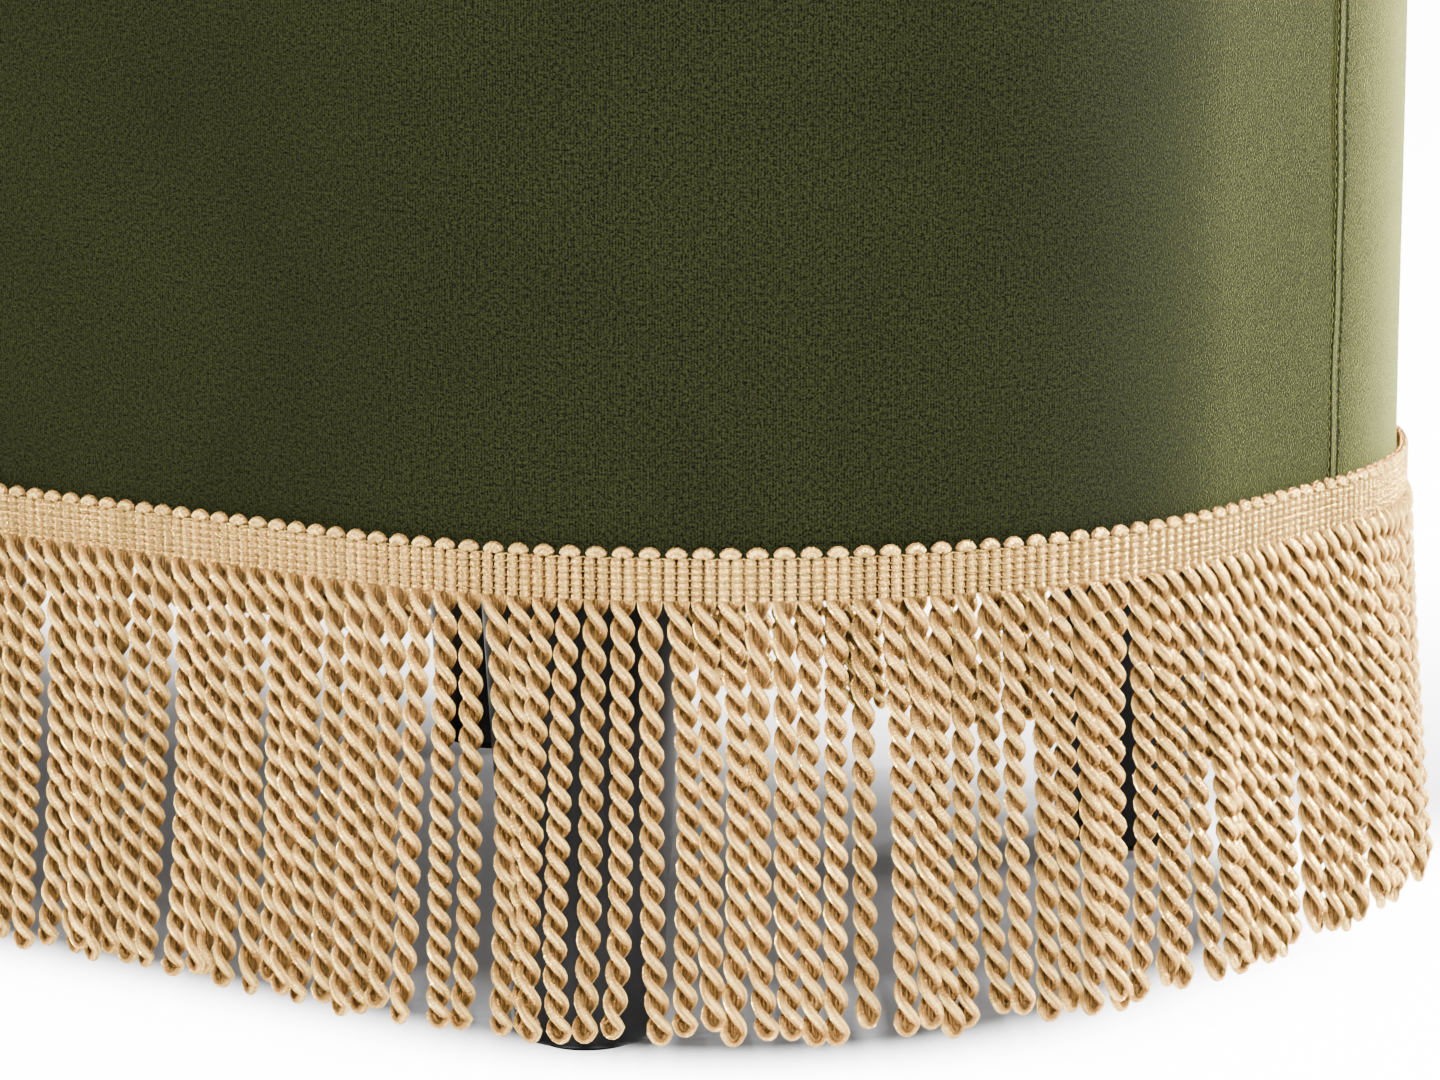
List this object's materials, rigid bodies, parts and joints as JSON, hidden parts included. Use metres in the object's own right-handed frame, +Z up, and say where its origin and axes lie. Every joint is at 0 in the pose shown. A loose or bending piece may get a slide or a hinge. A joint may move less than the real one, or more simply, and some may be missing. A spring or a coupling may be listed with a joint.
{
  "type": "storage bench ottoman",
  "caption": "Racetrack-shaped velvet storage bench with a padded lid hinged along the rear, a rope fringe round its foot and tapered black legs.",
  "frame": {"origin": "on the floor, at the middle of the bench", "axes": "+X along the bench towards its right end, +Y towards the rear where the lid is hinged, +Z up"},
  "size_m": [0.9476, 0.4936, 0.457],
  "materials": {
    "velvet": "olive cotton velvet with a short dense pile",
    "fringe": "silky twisted rayon rope fringe in old gold",
    "leg_black": "turned hardwood, satin black lacquer",
    "plywood": "birch plywood, unfinished",
    "foam": "upholstery foam",
    "lining": "woven charcoal lining cloth on a thin board",
    "dust_cloth": "black non-woven dust cloth",
    "steel": "zinc-plated steel",
    "rubber": "soft black rubber",
    "plastic": "hard black plastic"
  },
  "bodies": {
    "body": {"bottom_board": "plywood", "dust_cover": "dust_cloth", "wall_front": "plywood", "wall_rear": "plywood", "end_wall_left": "plywood", "end_wall_right": "plywood", "wall_battens": "plywood", "top_rim": "plywood", "side_foam": "foam", "cover_front": "velvet", "cover_rear": "velvet", "seam_left": "velvet", "seam_right": "velvet", "storage_floor": "lining", "storage_lining": "lining", "leg_front_left": "leg_black", "leg_front_middle": "leg_black", "leg_front_right": "leg_black", "leg_rear_left": "leg_black", "leg_rear_middle": "leg_black", "leg_rear_right": "leg_black", "leg_plates": "steel", "leg_plate_screws": "steel", "leg_bolts": "steel", "leg_glides": "plastic", "fringe_front_1": "fringe", "fringe_front_2": "fringe", "fringe_right_1": "fringe", "fringe_right_2": "fringe", "fringe_right_3": "fringe", "fringe_right_4": "fringe", "fringe_right_5": "fringe", "fringe_right_6": "fringe", "fringe_right_7": "fringe", "fringe_rear_1": "fringe", "fringe_rear_2": "fringe", "fringe_left_1": "fringe", "fringe_left_2": "fringe", "fringe_left_3": "fringe", "fringe_left_4": "fringe", "fringe_left_5": "fringe", "fringe_left_6": "fringe", "fringe_left_7": "fringe", "hinge_body_leaf_left": "steel", "hinge_body_leaf_right": "steel", "hinge_pin_left": "steel", "hinge_pin_right": "steel", "hinge_body_screws": "steel", "lid_bumpers": "rubber"},
    "lid": {"lid_board": "plywood", "lid_foam": "foam", "lid_top_panel": "velvet", "lid_boxing": "velvet", "lid_seam": "velvet", "lid_lining": "lining", "hinge_lid_leaf_left": "steel", "hinge_lid_leaf_right": "steel", "hinge_sleeves": "plastic", "hinge_lid_screws": "steel"}
  },
  "joints": [
    {"name": "lid_hinge", "type": "hinge", "parent": "body", "child": "lid", "pos_m": [0, 0.235, 0.345], "axis": [-1, 0, 0], "range_deg": [0, 95]}
  ]
}
